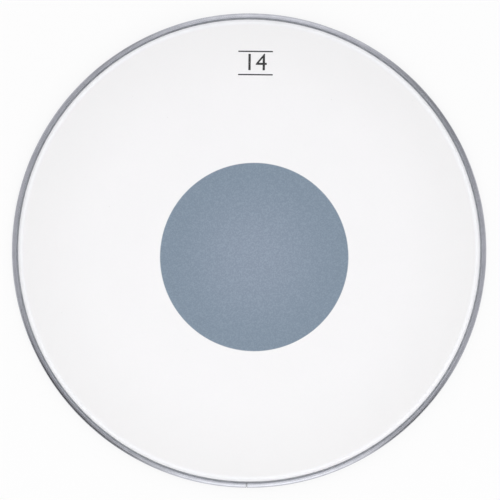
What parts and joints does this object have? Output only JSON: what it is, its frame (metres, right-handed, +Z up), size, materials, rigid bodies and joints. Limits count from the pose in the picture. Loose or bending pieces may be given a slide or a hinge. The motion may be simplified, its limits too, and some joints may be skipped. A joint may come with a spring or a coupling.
{
  "type": "drum head",
  "caption": "Round coated drum head: formed polyester film with a tall collar, bonded in a rolled metal channel hoop, with a damping dot glued under its playing face.",
  "frame": {"origin": "on the hoop's axis, at the level of the foot that the hoop stands on", "axes": "+Z up along the hoop's axis, from the foot to the playing face; the butt seam of the hoop is at -Y"},
  "size_m": [0.3682, 0.3682, 0.0191],
  "materials": {
    "hoop_metal": "rolled strip, satin, with fine lines along the ring",
    "splice_metal": "plain rolled strip",
    "resin": "grey cast resin with a smooth poured surface",
    "film": "smooth clear polyester that shows the white coat behind it",
    "coating": "sprayed matt white with a fine grain",
    "adhesive": "thin clear layer",
    "dot_film": "black satin film"
  },
  "bodies": {
    "root": {"flesh_hoop": "hoop_metal", "hoop_splice": "splice_metal", "edge_resin": "resin", "batter_film": "film", "white_coating": "coating", "dot_adhesive": "adhesive", "centre_dot": "dot_film"}
  },
  "joints": []
}
